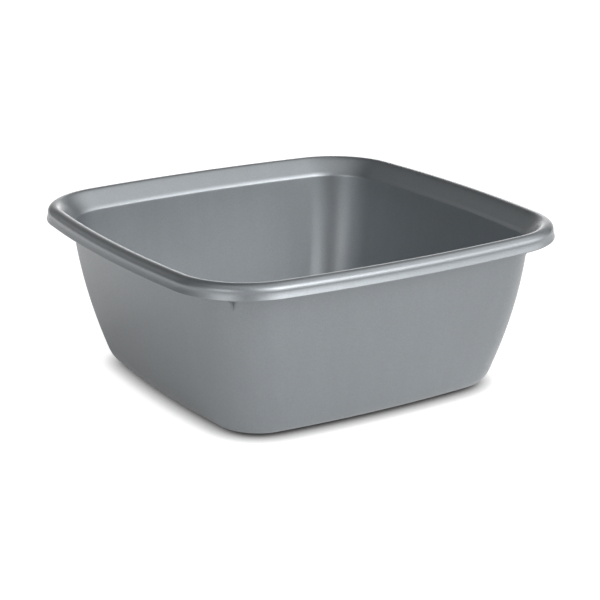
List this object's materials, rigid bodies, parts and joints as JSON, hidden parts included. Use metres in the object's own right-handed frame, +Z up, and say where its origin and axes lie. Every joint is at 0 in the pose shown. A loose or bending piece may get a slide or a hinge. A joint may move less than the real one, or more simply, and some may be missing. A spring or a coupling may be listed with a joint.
{
  "type": "basin",
  "caption": "Square washing-up basin with rounded corners, tapering walls, a ledge inside the mouth and a hollow rolled rim.",
  "frame": {"origin": "middle of the base, at the level of the foot ring that the basin stands on", "axes": "+Z up through the mouth; X and Y square to the four walls"},
  "size_m": [0.34, 0.34, 0.1341],
  "materials": {
    "silver_plastic": "satin, silver-grey metallic pigment"
  },
  "bodies": {
    "root": {"basin": "silver_plastic"}
  },
  "joints": []
}
